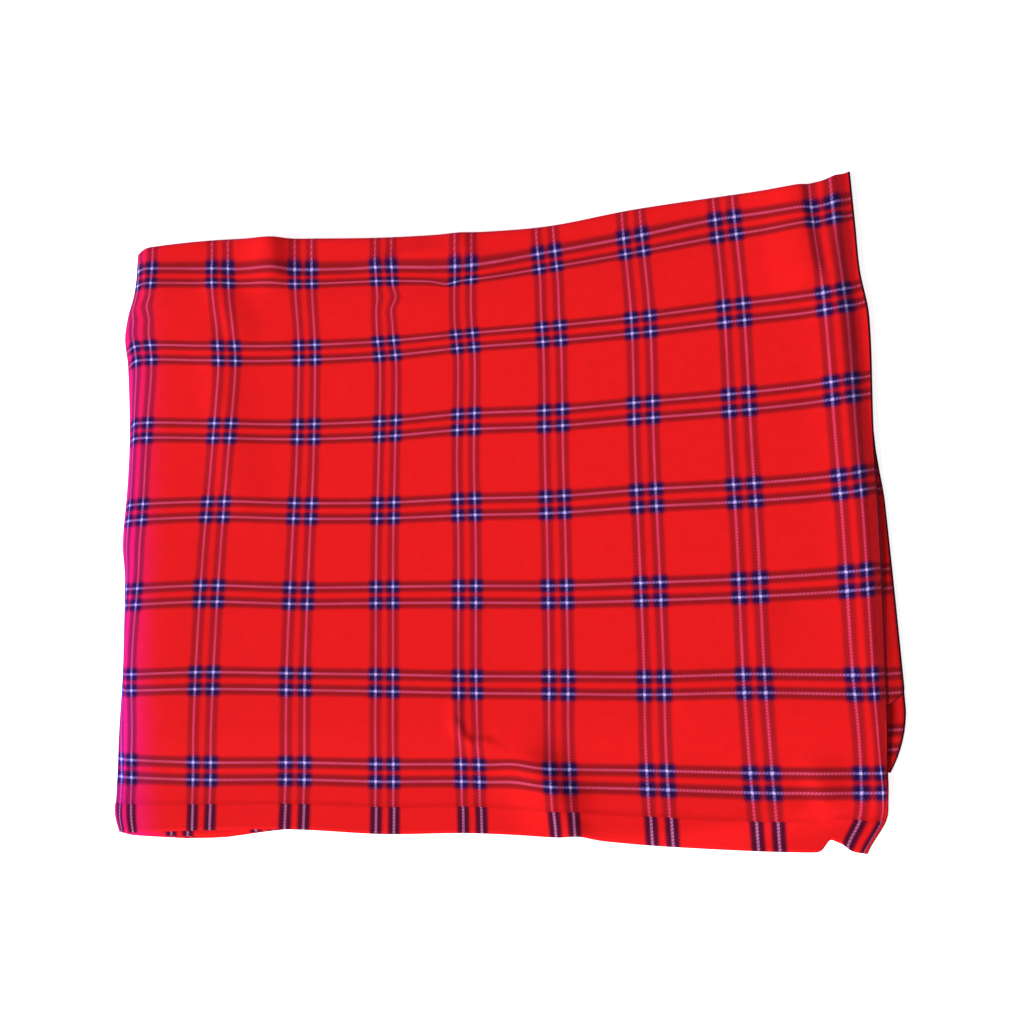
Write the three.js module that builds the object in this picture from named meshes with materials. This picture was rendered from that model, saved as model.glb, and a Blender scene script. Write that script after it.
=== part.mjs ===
import * as THREE from 'three';

// A checked blanket in one piece, folded in four and laid on a flat surface. It is folded in half
// once from the left and then once from the top, so four layers lie over one another, a little apart.
// Lengths are in millimetres. +X runs along the weft to the right, +Y to the top fold and +Z up.

// The cloth, between its finished edges
const CLOTH_WIDTH = 1800;
const CLOTH_LENGTH = 1480;
const THICKNESS = 1.6;
const HEM_WIDTH = 30;
const HEM_EXTRA = 0.8;

// The check: pairs of stripes at an even pitch. The first warp pair runs beside the left fold, and
// the first weft pair below the top fold
const BAND_PITCH = 106;
const BAND_COUNT = 9;
const FIRST_BAND = 20;
const FIRST_ROW = 36;

// Half the gap between the two layers that the left fold joins, and half that between the two
// pairs of layers that the top fold joins
const PAIR_GAP = { flat: 0.5, leftFold: 2.0, topFold: 1.0, hem: 1.1 };
const STACK_GAP = { flat: 0.5, leftFold: 0.5, topFold: 1.5, hem: 1.3 };
const FOLD_SOFTNESS = 45;
const HEM_SOFTNESS = { from: 620, to: 690 };

// The sheet lies a little turned, counter-clockwise
const TURN = THREE.MathUtils.degToRad(1.2);

// How the folded sheet lies, with a row for the left edge, each pair of warp stripes and the selvage.
// side is how far that line lies to the right of its even place, at the top fold and at the hem. sag
// is how far the weft hangs below its even place, from the fold down to the hem, and under is
// the sag of the hems of the lower layers.
const LAY_COLUMNS = ['sideFold', 'sideHem', 'sagFold', 'sagUpper', 'sagMiddle', 'sagHem', 'under'];
const LAY_ROWS = [
  [0, 0, 5, 0, 0, -3, 1],
  [-3, -3, 1, 0, 0, -4, 1],
  [-6, -12, -1, 12, 3, -6, 1],
  [0, -7, 10, 21, 12, -1, 2],
  [-3, -6, 22, 26, 17, 2, 2],
  [-8, -14, 28, 25, 19, 4, 0],
  [-9, -14, 31, 26, 22, 9, -4],
  [-8, -16, 20, 27, 22, 16, -10],
  [-7, -13, 14, 21, 23, 20, -20],
  [6, -14, 11, 19, 19, 24, -32],
  [2, -24, 4, 17, 19, 23, -36],
];
const UPPER_DOWN = FIRST_ROW + BAND_PITCH;
const MIDDLE_DOWN = FIRST_ROW + 3 * BAND_PITCH;

// How far the left edge lies to the right, down from the top corner
const LEFT_EDGE = [
  { down: 0, side: 5 },
  { down: 50, side: 1 },
  { down: 125, side: -11 },
  { down: 185, side: -6 },
  { down: 250, side: 1 },
  { down: 390, side: 0 },
  { down: 500, side: 7 },
  { down: 740, side: 8 },
];
const LEFT_EDGE_REACH = 60;

// The lower layers reach out at the right. Their corner by the hem is drawn in, and the second layer
// slips back there, so that the third one shows
const UNDER_REACH = 4;
const UNDER_CORNER = { from: 672, drawnIn: 40, reach: 200 };
const SECOND_TUCK = { from: 590, to: 650, drawnIn: 26 };

// The corner of the top layer by the hem is dragged to the left
const TOP_CORNER = { from: 706, side: -26, reach: 110 };

// The top layer sinks to the surface where it reaches past the layers below
const OVERHANG = { start: 8, length: 38, clearance: 0.2 };

// Soft ridges of the top layer, each from one place to another, given across and down from the
// corner where the two folds meet, and a slow swell of the whole layer
const RIDGE_COLUMNS = ['across', 'down', 'toAcross', 'toDown', 'halfWidth', 'rise'];
const RIDGE_ROWS = [
  [404, 572, 440, 636, 26, 4.5],
  [440, 636, 518, 670, 28, 6],
  [518, 670, 552, 750, 28, 6],
  [676, 604, 745, 584, 26, 4],
  [745, 584, 768, 520, 26, 4],
  [150, 4, 210, 80, 30, 6],
  [108, 66, 146, 140, 28, 4.5],
  [112, 160, 150, 345, 32, 4],
  [350, 58, 430, 108, 28, 5],
  [430, 108, 500, 66, 28, 4],
  [848, 8, 866, 160, 26, 4],
  [902, 40, 898, 330, 28, 7],
  [893, 330, 884, 640, 26, 6],
  [806, 690, 834, 770, 26, 6],
];
const SWELL = { rise: 1.2, across: 150, down: 130 };

// Facets along the weft and the warp: fine on the top layer, at the folds and by the hems
const WEFT_STEPS = [
  { length: 60, count: 3 },
  { length: 800, count: 28 },
  { length: 35, count: 3 },
];
const WARP_STEPS = [
  { length: 30, count: 2 },
  { length: 80, count: 4 },
  { length: 590, count: 21 },
  { length: 34, count: 3 },
];
const UNDER_WEFT_STEPS = [
  { length: 35, count: 2 },
  { length: 800, count: 10 },
  { length: 60, count: 2 },
];
const UNDER_WARP_STEPS = [
  { length: 34, count: 2 },
  { length: 590, count: 5 },
  { length: 80, count: 2 },
  { length: 30, count: 1 },
];
const FOLD_STEPS = 5;

const CLOTH_COLOUR = 0xd3141d;

const { clamp, lerp, smoothstep } = THREE.MathUtils;

function namedRows(columns, rows) {
  return rows.map((row) => Object.fromEntries(columns.map((name, place) => [name, row[place]])));
}

// A smooth curve through stations, level past both ends
function curveThrough(stations, values) {
  const last = stations.length - 1;
  const slopes = values.map((value, i) => {
    const before = Math.max(i - 1, 0);
    const after = Math.min(i + 1, last);
    return (values[after] - values[before]) / (stations[after] - stations[before]);
  });
  return (at) => {
    const place = clamp(at, stations[0], stations[last]);
    let i = 0;
    while (i < last - 1 && place > stations[i + 1]) {
      i += 1;
    }
    const span = stations[i + 1] - stations[i];
    const part = (place - stations[i]) / span;
    const rest = 1 - part;
    const ends = values[i] * (1 + 2 * part) * rest * rest + values[i + 1] * (1 + 2 * rest) * part * part;
    return ends + span * part * rest * (slopes[i] * rest - slopes[i + 1] * part);
  };
}

// The folds. A fold turns the cloth back over an arc whose length is that of its middle layer
const LEFT_RADIUS = PAIR_GAP.leftFold + THICKNESS;
const LEFT_ARC = Math.PI * (PAIR_GAP.leftFold + THICKNESS / 2);
const TOP_RADIUS = STACK_GAP.topFold + 2 * (PAIR_GAP.topFold + THICKNESS);
const TOP_ARC = Math.PI * (STACK_GAP.topFold + PAIR_GAP.topFold + THICKNESS);
const WEFT_RUN = (CLOTH_WIDTH - LEFT_ARC) / 2;
const WARP_RUN = (CLOTH_LENGTH - TOP_ARC) / 2;
const SELVAGE_ACROSS = WEFT_RUN + LEFT_RADIUS;
const HEM_DOWN = WARP_RUN + TOP_RADIUS;

// How far a place on the cloth is from the fold's axis, and how far it has turned round it
function turnBack(along, run, arc) {
  const turn = (clamp((along - run) / arc, 0, 1)) * Math.PI;
  const distance = Math.max(run - along, along - run - arc, 0);
  return { distance, turn };
}

const lay = namedRows(LAY_COLUMNS, LAY_ROWS);
const bandPlaces = Array.from({ length: BAND_COUNT }, (_, band) => FIRST_BAND + band * BAND_PITCH);
const layPlaces = [0, ...bandPlaces, SELVAGE_ACROSS];
const layCurves = Object.fromEntries(
  LAY_COLUMNS.map((name) => [name, curveThrough(layPlaces, lay.map((row) => row[name]))]),
);
const sagStations = [0, UPPER_DOWN, MIDDLE_DOWN, HEM_DOWN];
const leftEdge = curveThrough(LEFT_EDGE.map((row) => row.down), LEFT_EDGE.map((row) => row.side));
const ridges = namedRows(RIDGE_COLUMNS, RIDGE_ROWS);

function layTopLayer(across, down) {
  const sags = ['sagFold', 'sagUpper', 'sagMiddle', 'sagHem'].map((name) => layCurves[name](across));
  const nearSelvage = smoothstep(across, SELVAGE_ACROSS - TOP_CORNER.reach, SELVAGE_ACROSS);
  const drag = TOP_CORNER.side * nearSelvage * smoothstep(down, TOP_CORNER.from, HEM_DOWN + TOP_RADIUS);
  const side = lerp(layCurves.sideFold(across), layCurves.sideHem(across), down / HEM_DOWN);
  return { side: side + drag, sag: curveThrough(sagStations, sags)(down) };
}

function underCornerBite(down) {
  const part = clamp((down - UNDER_CORNER.from) / (HEM_DOWN - UNDER_CORNER.from), 0, 1);
  return UNDER_CORNER.drawnIn * part * part;
}

function layLowerLayers(across, down, second) {
  const nearSelvage = smoothstep(across, SELVAGE_ACROSS - UNDER_CORNER.reach, SELVAGE_ACROSS);
  const tuck = SECOND_TUCK.drawnIn * second * smoothstep(down, SECOND_TUCK.from, SECOND_TUCK.to);
  const side = (UNDER_REACH * across) / SELVAGE_ACROSS - nearSelvage * (underCornerBite(down) + tuck);
  return { side, sag: lerp(layCurves.sagFold(across), layCurves.under(across), down / HEM_DOWN) };
}

// How far a place lies outside the outline of the lower layers
function pastLowerLayers(across, down) {
  const pastHem = down - HEM_DOWN - layCurves.under(across);
  const pastSelvage = across - SELVAGE_ACROSS - UNDER_REACH + underCornerBite(down);
  return Math.max(pastHem, pastSelvage);
}

function distanceToRidge(ridge, across, down) {
  const runAcross = ridge.toAcross - ridge.across;
  const runDown = ridge.toDown - ridge.down;
  const along = (across - ridge.across) * runAcross + (down - ridge.down) * runDown;
  const part = clamp(along / (runAcross ** 2 + runDown ** 2), 0, 1);
  return Math.hypot(across - ridge.across - part * runAcross, down - ridge.down - part * runDown);
}

function reliefAt(across, down) {
  const swell = SWELL.rise * (1 + Math.sin(across / SWELL.across) * Math.cos(down / SWELL.down));
  const rises = ridges.map((ridge) => {
    const apart = distanceToRidge(ridge, across, down) / ridge.halfWidth;
    return ridge.rise * Math.exp(-apart * apart);
  });
  return swell + Math.max(...rises);
}

function halfGap(gap, fromLeft, fromTop, down) {
  const left = (gap.leftFold - gap.flat) * Math.exp(-((fromLeft / FOLD_SOFTNESS) ** 2));
  const top = (gap.topFold - gap.flat) * Math.exp(-((fromTop / FOLD_SOFTNESS) ** 2));
  const hem = (gap.hem - gap.flat) * smoothstep(down, HEM_SOFTNESS.from, HEM_SOFTNESS.to);
  return gap.flat + Math.max(left, top, hem);
}

// Where a point of the flat cloth lies in the folded blanket. weft and warp are measured from the
// corner of the top layer by the selvage and the hem, and depth from the face that shows
function foldedPoint(weft, warp, depth) {
  const left = turnBack(weft, WEFT_RUN, LEFT_ARC);
  const top = turnBack(warp, WARP_RUN, TOP_ARC);
  const upper = (1 + Math.cos(top.turn)) / 2;
  const first = upper * ((1 + Math.cos(left.turn)) / 2);
  const second = upper - first;

  const foldedAcross = left.distance + LEFT_RADIUS;
  const foldedDown = top.distance + TOP_RADIUS;
  const topLay = layTopLayer(foldedAcross, foldedDown);
  const lowLay = layLowerLayers(foldedAcross, foldedDown, second);
  const bulge = leftEdge(foldedDown) * Math.exp(-left.distance / LEFT_EDGE_REACH);
  const across = foldedAcross + lerp(lowLay.side, topLay.side, first) + bulge;
  const down = foldedDown + lerp(lowLay.sag, topLay.sag, first);

  const pairGap = halfGap(PAIR_GAP, left.distance, top.distance, down);
  const stackGap = halfGap(STACK_GAP, left.distance, top.distance, down);
  const pairRadius = pairGap + THICKNESS - depth;
  const stackRadius = stackGap + pairGap + THICKNESS + pairRadius * Math.cos(left.turn);
  const axisHeight = stackGap + 2 * (pairGap + THICKNESS);
  const flatHeight = axisHeight + stackRadius * Math.cos(top.turn);

  const lift = reliefAt(across, down) * first;
  const past = pastLowerLayers(across, down) - OVERHANG.start;
  const sink = first * smoothstep(past, 0, OVERHANG.length);
  const restHeight = OVERHANG.clearance + THICKNESS - depth;
  const height = lerp(flatHeight + lift, restHeight, sink);

  const edgeAcross = across - pairRadius * Math.sin(left.turn);
  const edgeDown = down - stackRadius * Math.sin(top.turn);
  return new THREE.Vector3(
    edgeAcross * Math.cos(TURN) + edgeDown * Math.sin(TURN),
    edgeAcross * Math.sin(TURN) - edgeDown * Math.cos(TURN),
    height,
  );
}

// Places of the facet lines: the steps of the top layer, the fold, and the steps of the layer behind
function facetLines(steps, foldArc, stepsBehind, total) {
  const lines = [0];
  const stepOn = (length, count) => {
    const from = lines[lines.length - 1];
    for (let i = 1; i <= count; i += 1) {
      lines.push(from + (length * i) / count);
    }
  };
  const stepThrough = (list, run) => {
    const listed = list.reduce((sum, step) => sum + step.length, 0);
    list.forEach((step) => stepOn((step.length * run) / listed, step.count));
  };
  stepThrough(steps, (total - foldArc) / 2);
  stepOn(foldArc, FOLD_STEPS);
  stepThrough(stepsBehind, (total - foldArc) / 2);
  return lines;
}

// The blanket is a thin slab of cloth whose two faces hold the same rows of facets, closed by a rim
function foldedBlanket() {
  const weftLines = facetLines(WEFT_STEPS, LEFT_ARC, UNDER_WEFT_STEPS, CLOTH_WIDTH);
  const warpLines = facetLines(WARP_STEPS, TOP_ARC, UNDER_WARP_STEPS, CLOTH_LENGTH);
  const lastWeft = weftLines.length - 1;
  const lastWarp = warpLines.length - 1;
  const points = [];
  warpLines.forEach((warp) => {
    const hemShows = warp <= HEM_WIDTH ? HEM_EXTRA : 0;
    const hemHides = CLOTH_LENGTH - warp <= HEM_WIDTH ? HEM_EXTRA : 0;
    weftLines.forEach((weft) => {
      points.push(foldedPoint(weft, warp, -hemShows));
      points.push(foldedPoint(weft, warp, THICKNESS + hemHides));
    });
  });

  const SHOWN = 0;
  const HIDDEN = 1;
  const corner = (weft, warp, face) => 2 * (warp * weftLines.length + weft) + face;
  const triangles = [];
  const addQuad = (a, b, c, d) => triangles.push(a, b, c, a, c, d);
  for (let warp = 0; warp < lastWarp; warp += 1) {
    for (let weft = 0; weft < lastWeft; weft += 1) {
      const around = [[weft, warp], [weft, warp + 1], [weft + 1, warp + 1], [weft + 1, warp]];
      const shown = around.map(([i, j]) => corner(i, j, SHOWN));
      const hidden = around.map(([i, j]) => corner(i, j, HIDDEN));
      addQuad(shown[0], shown[1], shown[2], shown[3]);
      addQuad(hidden[2], hidden[1], hidden[0], hidden[3]);
    }
  }
  const addRim = (weft, warp, nextWeft, nextWarp) => addQuad(
    corner(weft, warp, SHOWN),
    corner(nextWeft, nextWarp, SHOWN),
    corner(nextWeft, nextWarp, HIDDEN),
    corner(weft, warp, HIDDEN),
  );
  for (let weft = 0; weft < lastWeft; weft += 1) {
    addRim(weft, 0, weft + 1, 0);
    addRim(weft + 1, lastWarp, weft, lastWarp);
  }
  for (let warp = 0; warp < lastWarp; warp += 1) {
    addRim(0, warp + 1, 0, warp);
    addRim(lastWeft, warp, lastWeft, warp + 1);
  }

  const cloth = new THREE.BufferGeometry().setFromPoints(points);
  cloth.setIndex(triangles);
  cloth.computeBoundingBox();
  const middle = cloth.boundingBox.getCenter(new THREE.Vector3());
  cloth.translate(-middle.x, -middle.y, 0);
  cloth.computeVertexNormals();
  return cloth;
}

const blanket = new THREE.Mesh(
  foldedBlanket(),
  new THREE.MeshStandardMaterial({ color: CLOTH_COLOUR, roughness: 0.9, metalness: 0 }),
);
blanket.name = 'blanket';

const group = new THREE.Group();
group.add(blanket);

export default group;
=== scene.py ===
import bpy
import numpy as np
from mathutils import Matrix, Vector


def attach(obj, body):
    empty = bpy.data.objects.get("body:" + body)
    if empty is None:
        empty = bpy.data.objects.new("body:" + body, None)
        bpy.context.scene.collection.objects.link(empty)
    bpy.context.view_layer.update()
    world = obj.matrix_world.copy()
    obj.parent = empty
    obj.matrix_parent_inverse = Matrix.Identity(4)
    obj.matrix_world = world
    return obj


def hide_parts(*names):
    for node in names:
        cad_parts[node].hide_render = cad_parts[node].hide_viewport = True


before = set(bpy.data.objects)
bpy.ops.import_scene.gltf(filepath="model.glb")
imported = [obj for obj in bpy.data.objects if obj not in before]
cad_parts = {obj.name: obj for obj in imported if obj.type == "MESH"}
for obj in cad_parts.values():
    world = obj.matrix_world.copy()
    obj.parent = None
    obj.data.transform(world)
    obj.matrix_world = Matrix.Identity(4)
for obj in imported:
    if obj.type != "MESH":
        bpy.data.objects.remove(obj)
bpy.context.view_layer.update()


# The camera. It looks almost straight down on the blanket from its lower right, as from beside a
# bed, with a 35 mm lens on a full-frame sensor.
CAMERA_PLACE = Vector((0.2347, -0.2230, 1.1327))
CAMERA_AIM = Vector((0.0425, -0.0076, 0.0090))
CAMERA_UP = Vector((0.0092, 1.0, 0.0))
CAMERA_LENS = 35.0
CAMERA_SENSOR = 36.0


def facing(place, aim, up):
    """The matrix of something at place that looks at aim, with its upper side towards up."""
    back = (place - aim).normalized()
    right = up.cross(back).normalized()
    turned = Matrix((right, back.cross(right), back)).transposed()
    return Matrix.Translation(place) @ turned.to_4x4()


camera_data = bpy.data.cameras.new("camera")
camera_data.lens = CAMERA_LENS
camera_data.sensor_width = CAMERA_SENSOR
camera = bpy.data.objects.new("camera", camera_data)
camera.matrix_world = facing(CAMERA_PLACE, CAMERA_AIM, CAMERA_UP)
bpy.context.scene.collection.objects.link(camera)
bpy.context.scene.camera = camera


# The light and the floor. Soft even light comes from the lower left, as from a wide far softbox,
# white walls all round fill the shade, and a low violet lamp at the left tints the rolled edge.
# The floor is a matt white acrylic light table, lit from below, so that it stays white everywhere.
ROOM_WHITE = "#FFFFFF"
ROOM_STRENGTH = 0.27
SOFT_LIGHT = {"place": (-5.30, -3.90, 4.50), "strength": 5.0, "angle": np.radians(20)}
VIOLET_LAMP = {"place": (-0.64, -0.13, 0.022), "length": 0.6, "height": 0.02, "watts": 1.6}
VIOLET = "#5000FF"
TABLE_WHITE = "#F4F4F4"
TABLE_GLOW = 0.82
TABLE_ROUGHNESS = 0.9
TABLE_SPECULAR = 0.1
TABLE_SIDE = 8.0
TABLE_BELOW = 0.0003


def linear_colour(hex_colour):
    """An sRGB hex colour as linear red, green, blue and alpha."""
    parts = [int(hex_colour[i:i + 2], 16) / 255 for i in (1, 3, 5)]
    lin = [p / 12.92 if p <= 0.04045 else ((p + 0.055) / 1.055) ** 2.4 for p in parts]
    return (*lin, 1.0)


room = bpy.data.worlds.new("white room")
room.use_nodes = True
room.node_tree.nodes["Background"].inputs["Color"].default_value = linear_colour(ROOM_WHITE)
room.node_tree.nodes["Background"].inputs["Strength"].default_value = ROOM_STRENGTH
bpy.context.scene.world = room
bpy.context.scene.view_settings.view_transform = "Standard"

soft_light = bpy.data.lights.new("soft light", "SUN")
soft_light.energy = SOFT_LIGHT["strength"]
soft_light.angle = SOFT_LIGHT["angle"]
violet_light = bpy.data.lights.new("violet lamp", "AREA")
violet_light.shape = "RECTANGLE"
violet_light.size = VIOLET_LAMP["length"]
violet_light.size_y = VIOLET_LAMP["height"]
violet_light.energy = VIOLET_LAMP["watts"]
violet_light.color = linear_colour(VIOLET)[:3]
for light, place in ((soft_light, SOFT_LIGHT["place"]), (violet_light, VIOLET_LAMP["place"])):
    stand = bpy.data.objects.new(light.name, light)
    stand.matrix_world = facing(Vector(place), Vector((0, 0, 0)), Vector((0, 0, 1)))
    bpy.context.scene.collection.objects.link(stand)

bpy.ops.object.select_all(action="DESELECT")
bpy.ops.mesh.primitive_plane_add(size=TABLE_SIDE, location=(0, 0, -TABLE_BELOW))
light_table = bpy.context.object
light_table.name = "light_table"
acrylic = bpy.data.materials.new("matt white acrylic")
acrylic.use_nodes = True
acrylic_shader = acrylic.node_tree.nodes["Principled BSDF"]
acrylic_shader.inputs["Base Color"].default_value = linear_colour(TABLE_WHITE)
acrylic_shader.inputs["Roughness"].default_value = TABLE_ROUGHNESS
acrylic_shader.inputs["Specular IOR Level"].default_value = TABLE_SPECULAR
acrylic_shader.inputs["Emission Color"].default_value = linear_colour(TABLE_WHITE)
acrylic_shader.inputs["Emission Strength"].default_value = TABLE_GLOW
light_table.data.materials.append(acrylic)


# The blanket. It is one length of checked acrylic twill, with a selvage down each long side and
# each end turned once and sewn as a hem. It is folded in half from the left and then from the top.
# Lengths are in millimetres: across runs to the right, and down runs from the top fold.
CLOTH_WIDTH = 1800.0
CLOTH_LENGTH = 1480.0
HEM_WIDTH = 30.0
HEM_EXTRA = 0.8
THICKNESS = 1.6

# Where the corner of the two folds lies, and how far the sheet is turned
CORNER_X = -454.5
CORNER_Y = 366.5
TURN = np.radians(1.2)

# Half the air between the two layers that the left fold joins, and half that between the two pairs
# of layers that the top fold joins. It is least at the edges, and grows over these distances
PAIR_GAP = {"flat": 2.0, "left_fold": 0.3, "top_fold": 1.2, "selvage": 0.2, "hem": 1.1}
STACK_GAP = {"flat": 2.0, "left_fold": 0.3, "top_fold": 1.5, "selvage": 0.2, "hem": 1.3}
LEFT_SOFTNESS = 16.0
TOP_SOFTNESS = 45.0
SELVAGE_SOFTNESS = 28.0
HEM_SOFTNESS = (620.0, 690.0)

# The check repeats at this pitch. The first pair of warp stripes runs beside the left fold
BAND_PITCH = 106.0
BAND_COUNT = 9
FIRST_BAND = 20.0

# How the top layer lies, with a row for the left edge, each pair of warp stripes and the selvage.
# The first table says how far each of them lies to the right, at these places on the way down
SIDE_DOWN = (0, 60, 115, 170, 300, 400, 545, 640, 740)
SIDE_ROWS = (
    (0, 0, 0, 0, 0, 0, 0, 0, 0),
    (-1, -3, -5, -3, -7, -6, -9, -3, -4),
    (-8, -2, 5, 8, 0, -6, -10, -11, -13),
    (-1, 2, 6, 7, 5, 1, -3, -3, -6),
    (-2, 1, 1, 5, 2, -1, -2, -3, -5),
    (-5, -7, -7, -4, -8, -8, -11, -11, -11),
    (-11, -7, -7, -6, -9, -10, -13, -16, -14),
    (-12, -9, -7, -7, -11, -12, -14, -17, -17),
    (-9, -7, -6, -6, -9, -10, -14, -14, -12),
    (-4, -4, -1, 0, -2, -3, -7, -7, -13),
    (2, 2, 2, 7, -1, -5, -13, -20, -26),
)

# The second says how far the weft hangs at the top fold, at rows of stripes and at the hem
SAG_DOWN = (0, 22, 50, 142, 248, 354, 460, 566, 672, 740)
SAG_ROWS = (
    (1, 8, 9, 13, 8, 4, 1, -3, -8, -3),
    (-3, 7, 8, 7, 4, 3, 2, -1, -7, -2),
    (-7, 18, 20, 20, 14, 6, 3, 0, -2, -4),
    (3, 31, 32, 28, 23, 15, 11, 5, 0, -4),
    (14, 40, 39, 32, 27, 21, 15, 10, 4, 2),
    (18, 48, 48, 31, 26, 23, 19, 15, 6, 2),
    (26, 42, 43, 32, 30, 27, 24, 19, 13, 8),
    (16, 33, 35, 31, 29, 26, 26, 23, 17, 18),
    (15, 22, 26, 27, 28, 27, 27, 24, 22, 25),
    (9, 21, 21, 23, 23, 24, 25, 29, 24, 27),
    (-8, 10, 12, 13, 16, 18, 22, 28, 24, 28),
)

# How far the lower layers' hems hang, with a value for each of the same rows, and where the lower
# pair and the second layer part from the top layer's sag, over how long a stretch
UNDER_HEM = (-2, 2, 6, -5, -5, -5, -6, -10, -26, -52, -54)
UNDER_PARTS = {"lower_pair": 540.0, "second": 645.0, "over": 150.0}

# How far the left edge lies to the right, going down
LEFT_EDGE = (
    (0, 0), (50, -2), (105, -13), (150, -7), (250, 0), (320, 0), (390, -3), (435, 2), (500, 4),
    (560, 5), (650, 2), (700, 1), (722, 2), (740, 9),
)
LEFT_EDGE_REACH = 40.0

# How far the cloth has slid round the left fold into the top layer, going down
LEFT_SLIDE = (
    (0, -8), (60, -3), (130, 8), (230, 4), (330, 6), (430, 0), (540, -5), (640, -5), (740, -2),
)
LEFT_SLIDE_REACH = 60.0

# How far the lower layers' selvages reach out beyond their even place, going down
UNDER_REACH = ((0, 0), (320, 0), (380, 4), (740, 4))

# The lower layers' corner by the hem is drawn in, and the second layer slips back there, so that
# the third one shows. The top layer's corner is dragged to the left. Where the top layer reaches
# past the layers below it sinks to the surface, and the lower half of its selvage curls down
UNDER_CORNER = {"from": 670.0, "drawn_in": 22.0, "reach": 120.0}
SECOND_TUCK = {"from": 574.0, "to": 598.0, "drawn_in": 26.0}
TOP_CORNER = {"from": 700.0, "side": -24.0, "reach": 110.0}
OVERHANG = {"start": 8.0, "length": 38.0, "clearance": 0.2}
SELVAGE_CURL = {"from": 380.0, "to": 560.0, "width": 18.0, "drop": 3.4}

# Small pulls of the top layer: a place, how far the pull reaches each way, and how far it moves
# the cloth to the right and down
PULL_COLUMNS = ("across", "down", "reach_across", "reach_down", "side", "sag")
PULL_ROWS = (
    (26, 78, 20, 10, -3, 0),
    (26, 98, 20, 10, 2, 0),
    (352, 70, 18, 11, 4, 0),
    (352, 90, 20, 11, -2, 0),
    (423, 47, 14, 7, 0, 4),
    (498, 668, 24, 26, 0, -3),
    (566, 742, 16, 24, 0, -3),
    (834, 745, 10, 30, 0, -11),
    (850, 745, 13, 30, 0, -9),
    (880, 715, 11, 60, 5.5, 0),
    (8, 690, 9, 45, 5, 0),
)

# Soft creases of the top layer, each from one place to another. left and right are how wide they
# are on either side as one walks along them. All of them rise, since the layer below is close
CREASE_COLUMNS = ("across", "down", "to_across", "to_down", "left", "right", "rise")
CREASE_ROWS = (
    (189, 0, 194, 52, 17, 30, 9.5),
    (112, 60, 150, 140, 22, 16, 3.0),
    (118, 160, 150, 345, 34, 20, 2.5),
    (330, 54, 372, 50, 7, 22, 3.5),
    (372, 50, 436, 46, 7, 22, 4.0),
    (430, 0, 436, 46, 14, 20, 3.5),
    (422, 604, 420, 620, 5, 9, 2.5),
    (420, 620, 427, 637, 5, 9, 3.0),
    (427, 637, 437, 645, 5, 9, 3.0),
    (437, 645, 453, 644, 5, 9, 2.5),
    (453, 644, 482, 657, 5, 14, 1.3),
    (482, 657, 506, 667, 6, 16, 2.0),
    (500, 664, 514, 680, 14, 24, 5.0),
    (514, 680, 530, 708, 24, 34, 11.0),
    (530, 708, 545, 736, 14, 24, 6.0),
    (676, 604, 745, 584, 20, 20, 2.0),
    (745, 584, 768, 520, 16, 16, 2.0),
    (838, 0, 847, 118, 12, 40, 8.0),
    (868, 0, 872, 560, 24, 24, 3.0),
    (64, 480, 62, 740, 70, 40, 1.5),
    (806, 690, 834, 770, 22, 12, 4.0),
)
SWELL = {"rise": 1.2, "across": 150.0, "down": 130.0}

# How far apart the mesh lines lie, as runs of a length and a step each: along the weft from the
# selvage of the top layer, and along the warp from its hem. The hidden layers have fewer
WEFT_RUNS = (
    (40, 2.5), (60, 4), (110, 6.5), (110, 8), (60, 6), (63, 4.5), (50, 2.5), (67, 4.2), (120, 7),
    (120, 5), (50, 6), (50, 2.5),
)
WEFT_BEHIND = ((40, 5), (750, 50), (110, 5.5))
WARP_RUNS = ((28, 4), (4, 2), (48, 5), (76, 2.4), (44, 5), (300, 8.4), (150, 5.4), (90, 3.2))
WARP_BEHIND = ((60, 10), (500, 50), (180, 8))
FOLD_STEPS = 9


def smooth_step(at, start, end):
    """A share that rises smoothly from 0 at start to 1 at end."""
    part = np.clip((at - start) / (end - start), 0, 1)
    return part * part * (3 - 2 * part)


def mix(a, b, part):
    """a where part is 0 and b where it is 1."""
    return a + (b - a) * part


def curve_through(stations, values, at):
    """A smooth curve through values at stations, level past both ends. A value may be an array."""
    last = len(stations) - 1
    at = np.clip(at, stations[0], stations[last])
    slopes = []
    for i in range(last + 1):
        before, after = max(i - 1, 0), min(i + 1, last)
        slopes.append((values[after] - values[before]) / (stations[after] - stations[before]))
    result = values[0] + 0 * at
    for i in range(last):
        span = stations[i + 1] - stations[i]
        part = np.clip((at - stations[i]) / span, 0, 1)
        rest = 1 - part
        ends = values[i] * (1 + 2 * part) * rest ** 2 + values[i + 1] * (1 + 2 * rest) * part ** 2
        bend = span * part * rest * (slopes[i] * rest - slopes[i + 1] * part)
        result = np.where(at >= stations[i], ends + bend, result)
    return result


# The folds. A fold turns the cloth back over an arc whose length is that of its middle layer
LEFT_RADIUS = PAIR_GAP["left_fold"] + THICKNESS
LEFT_ARC = np.pi * (PAIR_GAP["left_fold"] + THICKNESS / 2)
TOP_RADIUS = STACK_GAP["top_fold"] + 2 * (PAIR_GAP["top_fold"] + THICKNESS)
TOP_ARC = np.pi * (STACK_GAP["top_fold"] + PAIR_GAP["top_fold"] + THICKNESS)
WEFT_RUN = (CLOTH_WIDTH - LEFT_ARC) / 2
WARP_RUN = (CLOTH_LENGTH - TOP_ARC) / 2
SELVAGE_ACROSS = WEFT_RUN + LEFT_RADIUS
HEM_DOWN = WARP_RUN + TOP_RADIUS
LAY_PLACES = [0.0, *(FIRST_BAND + i * BAND_PITCH for i in range(BAND_COUNT)), SELVAGE_ACROSS]


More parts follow.
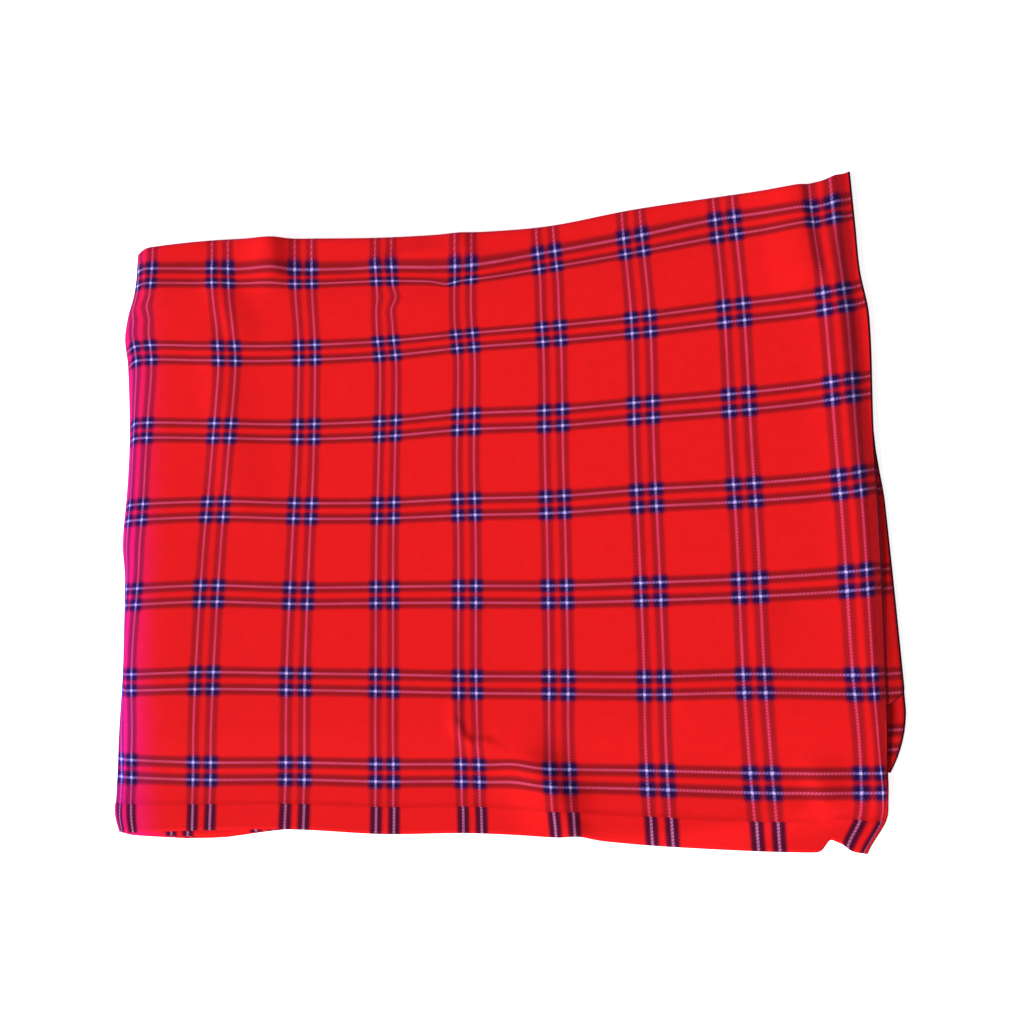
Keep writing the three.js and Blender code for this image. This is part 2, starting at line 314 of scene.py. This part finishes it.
def lay_from(rows, stations, across, down):
    """What a lay table gives at a place: a curve across through each column, and one going down."""
    columns = [curve_through(LAY_PLACES, column, across) for column in zip(*rows)]
    return curve_through(stations, columns, down)


def turn_back(along, run, arc):
    """How far a place is from the fold's axis, and how far it has turned round it."""
    turn = np.clip((along - run) / arc, 0, 1) * np.pi
    distance = np.maximum(np.maximum(run - along, along - run - arc), 0)
    return distance, turn


def lay_top_layer(across, down):
    """How far the top layer lies to the right of its even place, and how far below it."""
    near_selvage = smooth_step(across, SELVAGE_ACROSS - TOP_CORNER["reach"], SELVAGE_ACROSS)
    drag = TOP_CORNER["side"] * smooth_step(down, TOP_CORNER["from"], HEM_DOWN + TOP_RADIUS)
    side = lay_from(SIDE_ROWS, SIDE_DOWN, across, down) + drag * near_selvage
    sag = lay_from(SAG_ROWS, SAG_DOWN, across, down)
    for row in PULL_ROWS:
        pull = dict(zip(PULL_COLUMNS, row))
        off_across = (across - pull["across"]) / pull["reach_across"]
        off_down = (down - pull["down"]) / pull["reach_down"]
        near = np.exp(-(off_across ** 2 + off_down ** 2))
        side += pull["side"] * near
        sag += pull["sag"] * near
    return side, sag


def under_corner_bite(down):
    """How far the lower layers' corner by the hem is drawn in."""
    part = np.clip((down - UNDER_CORNER["from"]) / (HEM_DOWN - UNDER_CORNER["from"]), 0, 1)
    return UNDER_CORNER["drawn_in"] * part ** 2


def under_reach(down):
    """How far the lower layers' selvages reach out."""
    places, reaches = zip(*UNDER_REACH)
    return curve_through(places, reaches, down)


def under_hem(across):
    """How far the lower layers' hems hang."""
    return curve_through(LAY_PLACES, UNDER_HEM, across)


def lay_lower_layers(across, down, second):
    """The same for the lower layers. second is 1 in the second layer and 0 in the lower pair."""
    near_selvage = smooth_step(across, SELVAGE_ACROSS - UNDER_CORNER["reach"], SELVAGE_ACROSS)
    tuck = SECOND_TUCK["drawn_in"] * second * smooth_step(down, SECOND_TUCK["from"], SECOND_TUCK["to"])
    side = under_reach(down) * across / SELVAGE_ACROSS - near_selvage * (under_corner_bite(down) + tuck)
    parts_at = mix(UNDER_PARTS["lower_pair"], UNDER_PARTS["second"], second)
    parted = smooth_step(down, parts_at, parts_at + UNDER_PARTS["over"])
    return side, mix(lay_from(SAG_ROWS, SAG_DOWN, across, down), under_hem(across), parted)


def past_lower_layers(across, down):
    """How far a place of the top layer is beyond the hem or the selvage of the layers below."""
    past_hem = down - HEM_DOWN - under_hem(across)
    past_selvage = across - SELVAGE_ACROSS - under_reach(down) + under_corner_bite(down)
    return np.maximum(past_hem, past_selvage)


def relief_at(across, down):
    """How far creases and the slow swell of the top layer lift it."""
    swell = SWELL["rise"] * (1 + np.sin(across / SWELL["across"]) * np.cos(down / SWELL["down"]))
    highest = np.zeros_like(across)
    never_zero = 0.001
    for row in CREASE_ROWS:
        crease = dict(zip(CREASE_COLUMNS, row))
        run = np.array((crease["to_across"] - crease["across"], crease["to_down"] - crease["down"]))
        from_start = across - crease["across"], down - crease["down"]
        along = np.clip((from_start[0] * run[0] + from_start[1] * run[1]) / run.dot(run), 0, 1)
        apart = np.hypot(from_start[0] - along * run[0], from_start[1] - along * run[1]) + never_zero
        to_left = (from_start[0] * run[1] - from_start[1] * run[0]) / np.hypot(*run)
        width = mix(crease["right"], crease["left"], (1 + to_left / apart) / 2)
        highest = np.maximum(highest, crease["rise"] * np.exp(-((apart / width) ** 2)))
    return swell + highest


def half_gap(gap, from_left, from_selvage, from_top, down):
    """Half the air between two layers, which is least along the folds, the selvages and the hem."""
    left = (gap["flat"] - gap["left_fold"]) * np.exp(-from_left / LEFT_SOFTNESS)
    top = (gap["flat"] - gap["top_fold"]) * np.exp(-((from_top / TOP_SOFTNESS) ** 2))
    selvage = (gap["flat"] - gap["selvage"]) * (1 - smooth_step(from_selvage, 0, SELVAGE_SOFTNESS))
    hem = (gap["flat"] - gap["hem"]) * smooth_step(down, *HEM_SOFTNESS)
    return gap["flat"] - np.maximum(np.maximum(left, top), np.maximum(selvage, hem))


def folded_place(weft, warp, depth):
    """Where a point of the flat cloth lies in the folded blanket. weft and warp start at the corner
    of the top layer by the selvage and the hem, and depth at the face that shows."""
    left_distance, left_turn = turn_back(weft, WEFT_RUN, LEFT_ARC)
    top_distance, top_turn = turn_back(warp, WARP_RUN, TOP_ARC)
    upper = (1 + np.cos(top_turn)) / 2
    first = upper * (1 + np.cos(left_turn)) / 2
    second = upper - first

    folded_across = left_distance + LEFT_RADIUS
    folded_down = top_distance + TOP_RADIUS
    top_side, top_sag = lay_top_layer(folded_across, folded_down)
    low_side, low_sag = lay_lower_layers(folded_across, folded_down, second)
    edge_places, edge_sides = zip(*LEFT_EDGE)
    bulge = curve_through(edge_places, edge_sides, folded_down) * np.exp(-left_distance / LEFT_EDGE_REACH)
    across = folded_across + mix(low_side, top_side, first) + bulge
    down = folded_down + mix(low_sag, top_sag, first)

    from_selvage = SELVAGE_ACROSS + under_reach(folded_down) - across
    pair_gap = half_gap(PAIR_GAP, left_distance, from_selvage, top_distance, down)
    stack_gap = half_gap(STACK_GAP, left_distance, from_selvage, top_distance, down)
    pair_radius = pair_gap + THICKNESS - depth
    stack_radius = stack_gap + pair_gap + THICKNESS + pair_radius * np.cos(left_turn)
    axis_height = stack_gap + 2 * (pair_gap + THICKNESS)
    flat_height = axis_height + stack_radius * np.cos(top_turn)

    curl = smooth_step(folded_down, SELVAGE_CURL["from"], SELVAGE_CURL["to"])
    curl = curl * smooth_step(folded_across, SELVAGE_ACROSS - SELVAGE_CURL["width"], SELVAGE_ACROSS)
    lift = first * (relief_at(across, down) * (1 - curl) - SELVAGE_CURL["drop"] * curl)
    past = past_lower_layers(across, down) - OVERHANG["start"]
    sink = first * smooth_step(past, 0, OVERHANG["length"])
    height = mix(flat_height + lift, OVERHANG["clearance"] + THICKNESS - depth, sink)

    edge_across = across - pair_radius * np.sin(left_turn)
    edge_down = down - stack_radius * np.sin(top_turn)
    x = CORNER_X + edge_across * np.cos(TURN) + edge_down * np.sin(TURN)
    y = CORNER_Y + edge_across * np.sin(TURN) - edge_down * np.cos(TURN)
    return np.stack([x, y, height], axis=-1)


def even_steps(runs, total):
    """The steps from one mesh line to the next along some runs, scaled so that they fill a length."""
    scale = total / sum(length for length, _ in runs)
    steps = []
    for length, step in runs:
        count = round(length / step)
        steps.extend([length * scale / count] * count)
    return steps


def mesh_lines(runs, fold_arc, runs_behind, total):
    """Places of the mesh lines: those of the top layer, the fold, and those of the layer behind."""
    layer = (total - fold_arc) / 2
    fold = [fold_arc / FOLD_STEPS] * FOLD_STEPS
    steps = even_steps(runs, layer) + fold + even_steps(runs_behind, layer)
    return np.concatenate([[0.0], np.cumsum(steps)])


def slid_weft(weft, warp):
    """Which part of the weft lies at a place of the mesh, with the slide round the left fold."""
    places, slides = zip(*LEFT_SLIDE)
    from_left_fold = np.abs(weft - CLOTH_WIDTH / 2)
    from_top_fold = np.abs(warp - CLOTH_LENGTH / 2)
    slide = curve_through(places, slides, from_top_fold)
    return weft + slide * np.exp(-from_left_fold / LEFT_SLIDE_REACH)


weft_lines = mesh_lines(WEFT_RUNS, LEFT_ARC, WEFT_BEHIND, CLOTH_WIDTH)
warp_lines = mesh_lines(WARP_RUNS, TOP_ARC, WARP_BEHIND, CLOTH_LENGTH)
warp, weft = np.meshgrid(warp_lines, weft_lines, indexing="ij")

# The hem of the top layer thickens the face that shows. The other one thickens the hidden face,
# which leaves the lowest layer flat on the surface
hem_shows = np.where(warp <= HEM_WIDTH, HEM_EXTRA, 0)
hem_hides = np.where(CLOTH_LENGTH - warp <= HEM_WIDTH, HEM_EXTRA, 0)
shown_face = folded_place(weft, warp, -hem_shows)
hidden_face = folded_place(weft, warp, THICKNESS + hem_hides)
points = np.concatenate([shown_face.reshape(-1, 3), hidden_face.reshape(-1, 3)]) / 1000

rows, columns = weft.shape
shown = np.arange(rows * columns).reshape(rows, columns)
hidden = shown + rows * columns


def quads(a, b, c, d):
    """Four-sided faces from four grids of corners."""
    return np.stack([a, b, c, d], axis=-1).reshape(-1, 4)


faces = np.concatenate([
    quads(shown[:-1, :-1], shown[1:, :-1], shown[1:, 1:], shown[:-1, 1:]),
    quads(hidden[:-1, :-1], hidden[:-1, 1:], hidden[1:, 1:], hidden[1:, :-1]),
    quads(shown[0, :-1], shown[0, 1:], hidden[0, 1:], hidden[0, :-1]),
    quads(shown[-1, 1:], shown[-1, :-1], hidden[-1, :-1], hidden[-1, 1:]),
    quads(shown[1:, 0], shown[:-1, 0], hidden[:-1, 0], hidden[1:, 0]),
    quads(shown[:-1, -1], shown[1:, -1], hidden[1:, -1], hidden[:-1, -1]),
])

cloth_mesh = bpy.data.meshes.new("folded_cloth")
cloth_mesh.from_pydata(points.tolist(), [], faces.tolist())
cloth_mesh.polygons.foreach_set("use_smooth", [True] * len(faces))
flat_places = np.stack([slid_weft(weft, warp) / CLOTH_WIDTH, warp / CLOTH_LENGTH], axis=-1)
flat_places = np.concatenate([flat_places.reshape(-1, 2)] * 2)
flat_map = cloth_mesh.uv_layers.new(name="flat_cloth")
flat_map.uv.foreach_set("vector", flat_places[faces.ravel()].astype(np.float32).ravel())
cloth = bpy.data.objects.new("folded_cloth", cloth_mesh)
bpy.context.scene.collection.objects.link(cloth)

# Acrylic yarn, dyed before it was woven as a twill, and then lightly brushed. To the eye it is matt
# and even, with a faint bloom, and every stripe has a soft edge. Where yarns of two colours cross,
# both show: navy over red is a dark red and white over red a pink, and only navy over navy and
# white over white are clear.
RED = "#DB1517"
# The red with painted violet light beside the left fold
RED_PAINTED_VIOLET_BY_FOLD = "#E01464"
RED_OVER_NAVY = "#901018"
NAVY_OVER_RED = "#A4121B"
# The dark red bands with painted violet light beside the left fold
BAND_PAINTED_VIOLET_BY_FOLD = "#8C1050"
NAVY = "#22063C"
WHITE_WEFT = "#DC4E76"
WHITE_WARP = "#E8436D"
WHITE_OVER_NAVY = "#7E70C2"
WHITE = "#CDB1E8"

# In the turned hem the stripes of the warp lie over themselves, so they are darker and clearer
HEM_NAVY = "#4E0424"
HEM_WHITE = "#C473A8"
HEM_SHIFT = 1.6

# Painted shade: the outermost yarns of both selvages are painted nearly black, for the shadow along the
# edges of the stack
SELVAGE_PAINTED_SHADE = "#4A0816"
SELVAGE_PAINTED_SHADE_WIDTH = 2.0
COLOUR_EDGE = 0.5

# Each stripe of a pair: how far it is from the pair's middle, the half widths of its navy yarns, of
# the navy block at a crossing and of its white yarns, and how far each of them fades out
WARP_STRIPE = {"from_middle": 10.75, "navy": 7.3, "block": 8.8, "white": 1.45}
WEFT_STRIPE = {"from_middle": 10.05, "navy": 6.7, "block": 8.2, "white": 1.45}
STRIPE_EDGE = {"navy": 2.4, "block": 3.2, "white": 0.6}

# Where the middle of one pair lies in the flat cloth, from the top layer's corner by the hem
PAIR_IN_WEFT = 879.2
PAIR_IN_WARP = 704.26

# Painted violet light: beside the left fold the red and the dark red bands are painted magenta, as the
# low violet lamp lights the rolled edge, in a strip that widens towards the hems
PAINTED_VIOLET_LIGHT = {"reach": 78.0, "set_back": 12.0, "widens": 0.045}

# The ribs of the twill, which leave ticks in the white lines. They are 2 mm apart in the cloth, and
# drawn coarser here so that they show. step is how far they shift the edges of the stripes
TWILL = {"pitch": 3.6, "step": 0.35, "height": 0.06, "shade": 0.02, "ticks": 0.4}

# The brushed nap, the slight unevenness of the dye, and the white yarns, which show more or less
NAP = {"grain": 0.7, "height": 0.05, "low": 0.94, "high": 1.06}
MELANGE = {"grain": 14.0, "low": 0.97, "high": 1.03}
WHITE_SHOWS = {"grain": 45.0, "low": 0.8, "high": 1.15}
ROUGHNESS = {"low": 0.82, "high": 0.96}
SPECULAR = 0.08
BLOOM = {"weight": 0.25, "roughness": 0.35}
BLOOM_TINT = "#FF60E0"


def add_node(tree, kind, inputs=None, **settings):
    """Adds a node with its settings. An input is a value, or a socket that is linked to it."""
    node = tree.nodes.new(kind)
    for name, value in settings.items():
        setattr(node, name, value)
    for name, value in (inputs or {}).items():
        if isinstance(value, bpy.types.NodeSocket):
            tree.links.new(value, node.inputs[name])
        else:
            node.inputs[name].default_value = value
    return node


twill = bpy.data.materials.new("brushed acrylic twill")
twill.use_nodes = True
tree = twill.node_tree
shader = tree.nodes["Principled BSDF"]
flat_place = add_node(tree, "ShaderNodeUVMap", uv_map="flat_cloth").outputs["UV"]
cloth_size = (CLOTH_WIDTH, CLOTH_LENGTH, 1.0)
flat_mm = add_node(tree, "ShaderNodeVectorMath", {0: flat_place, 1: cloth_size}, operation="MULTIPLY")
in_mm = flat_mm.outputs["Vector"]
axes = add_node(tree, "ShaderNodeSeparateXYZ", {0: in_mm}).outputs


def arithmetic(operation, *values):
    """The result of an operation on values or sockets."""
    node = add_node(tree, "ShaderNodeMath", dict(enumerate(values)), operation=operation)
    return node.outputs[0]


def falling(value, start, end):
    """A share that falls smoothly from 1 to 0 as the value goes from start to end."""
    limits = {"Value": value, "From Min": start, "From Max": end, "To Min": 1.0, "To Max": 0.0}
    return add_node(tree, "ShaderNodeMapRange", limits, interpolation_type="SMOOTHSTEP").outputs[0]


def noise_between(grain, low, high):
    """Noise whose patches are about grain millimetres wide, from low to high. Raw noise seldom goes
    below 0.3 or above 0.7."""
    noise = add_node(tree, "ShaderNodeTexNoise", {"Vector": in_mm, "Scale": 1 / grain, "Detail": 2.0})
    limits = {"Value": noise.outputs[0], "From Min": 0.3, "From Max": 0.7, "To Min": low, "To Max": high}
    return add_node(tree, "ShaderNodeMapRange", limits).outputs[0]


def blend_colours(share, a, b):
    """Colour a where the share is 0 and b where it is 1. A Mix node's sockets 6 and 7 take colours,
    and its output 2 gives one."""
    node = add_node(tree, "ShaderNodeMix", {"Factor": share, 6: a, 7: b}, data_type="RGBA")
    return node.outputs[2]


diagonal = arithmetic("MULTIPLY", arithmetic("ADD", axes["X"], axes["Y"]), 2 * np.pi / TWILL["pitch"])
twill_wave = arithmetic("SINE", diagonal)
twill_step = arithmetic("MULTIPLY", twill_wave, TWILL["step"])
ticks = arithmetic("MULTIPLY_ADD", twill_wave, TWILL["ticks"], 1 - TWILL["ticks"])
white_shows = arithmetic("MULTIPLY", noise_between(**WHITE_SHOWS), ticks)
in_hem = falling(axes["Y"], HEM_WIDTH - COLOUR_EDGE, HEM_WIDTH + COLOUR_EDGE)
hem_shift = arithmetic("MULTIPLY", in_hem, HEM_SHIFT)
from_fold = arithmetic("ABSOLUTE", arithmetic("SUBTRACT", axes["X"], CLOTH_WIDTH / 2))
from_selvage = arithmetic("SUBTRACT", CLOTH_WIDTH / 2, from_fold)
# Where the painted shade along both selvages lies
in_selvage_shade = falling(from_selvage, SELVAGE_PAINTED_SHADE_WIDTH - COLOUR_EDGE, SELVAGE_PAINTED_SHADE_WIDTH + COLOUR_EDGE)
from_top_fold = arithmetic("ABSOLUTE", arithmetic("SUBTRACT", axes["Y"], CLOTH_LENGTH / 2))
# The share of painted violet light, which is full by the left fold and fades away from it
from_full_painted_violet = arithmetic("ADD", from_fold, PAINTED_VIOLET_LIGHT["set_back"])
from_full_painted_violet = arithmetic("MULTIPLY_ADD", from_top_fold, -PAINTED_VIOLET_LIGHT["widens"], from_full_painted_violet)
painted_violet_share = arithmetic("POWER", falling(from_full_painted_violet, 0.0, PAINTED_VIOLET_LIGHT["reach"]), 2.0)


def stripes(place, pair_middle, stripe):
    """Where the navy yarns, the navy block of a crossing and the white yarns lie, as three shares
    from 0 to 1."""
    past_middle = arithmetic("SUBTRACT", place, pair_middle)
    in_repeat = arithmetic("ABSOLUTE", arithmetic("WRAP", past_middle, BAND_PITCH / 2, -BAND_PITCH / 2))
    from_stripe = arithmetic("ABSOLUTE", arithmetic("SUBTRACT", in_repeat, stripe["from_middle"]))
    stepped = arithmetic("ADD", from_stripe, twill_step)
    return [
        falling(stepped, stripe[part] - STRIPE_EDGE[part], stripe[part] + STRIPE_EDGE[part])
        for part in ("navy", "block", "white")
    ]


weft_place = arithmetic("ADD", axes["X"], hem_shift)
warp_navy, warp_block, warp_white = stripes(weft_place, PAIR_IN_WEFT, WARP_STRIPE)
weft_navy, weft_block, weft_white = stripes(axes["Y"], PAIR_IN_WARP, WEFT_STRIPE)
block = arithmetic("MULTIPLY", warp_block, weft_block)
dot = arithmetic("MULTIPLY", warp_white, weft_white)
# The red and the dark red bands take on the painted violet light beside the left fold
red = blend_colours(painted_violet_share, linear_colour(RED), linear_colour(RED_PAINTED_VIOLET_BY_FOLD))
navy_weft = blend_colours(painted_violet_share, linear_colour(RED_OVER_NAVY), linear_colour(BAND_PAINTED_VIOLET_BY_FOLD))
navy_warp = blend_colours(painted_violet_share, linear_colour(NAVY_OVER_RED), linear_colour(BAND_PAINTED_VIOLET_BY_FOLD))
navy_warp = blend_colours(in_hem, navy_warp, linear_colour(HEM_NAVY))
white_warp = blend_colours(in_hem, linear_colour(WHITE_WARP), linear_colour(HEM_WHITE))
check = blend_colours(weft_navy, red, navy_weft)
check = blend_colours(warp_navy, check, navy_warp)
check = blend_colours(block, check, linear_colour(NAVY))
white_weft = blend_colours(block, linear_colour(WHITE_WEFT), linear_colour(WHITE_OVER_NAVY))
check = blend_colours(arithmetic("MULTIPLY", weft_white, white_shows), check, white_weft)
white_warp = blend_colours(block, white_warp, linear_colour(WHITE_OVER_NAVY))
check = blend_colours(arithmetic("MULTIPLY", warp_white, white_shows), check, white_warp)
check = blend_colours(dot, check, linear_colour(WHITE))
# The painted shade along both selvages goes over the check
check = blend_colours(in_selvage_shade, check, linear_colour(SELVAGE_PAINTED_SHADE))
nap_shade = noise_between(NAP["grain"], NAP["low"], NAP["high"])
melange = arithmetic("MULTIPLY", noise_between(**MELANGE), nap_shade)
shade = arithmetic("MULTIPLY_ADD", twill_wave, TWILL["shade"], melange)
dyed = add_node(tree, "ShaderNodeVectorMath", {0: check, "Scale": shade}, operation="SCALE")
tree.links.new(dyed.outputs["Vector"], shader.inputs["Base Color"])
tree.links.new(noise_between(NAP["grain"], **ROUGHNESS), shader.inputs["Roughness"])
weave = arithmetic("MULTIPLY", twill_wave, TWILL["height"] / 2)
pile = arithmetic("ADD", weave, noise_between(NAP["grain"], -NAP["height"], NAP["height"]))

# The pile's heights are in millimetres
bump = add_node(tree, "ShaderNodeBump", {"Height": pile, "Distance": 0.001, "Strength": 1.0})
tree.links.new(bump.outputs[0], shader.inputs["Normal"])
shader.inputs["Specular IOR Level"].default_value = SPECULAR
shader.inputs["Sheen Weight"].default_value = BLOOM["weight"]
shader.inputs["Sheen Roughness"].default_value = BLOOM["roughness"]
shader.inputs["Sheen Tint"].default_value = linear_colour(BLOOM_TINT)
cloth.data.materials.append(twill)

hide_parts("blanket")
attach(cloth, "root")
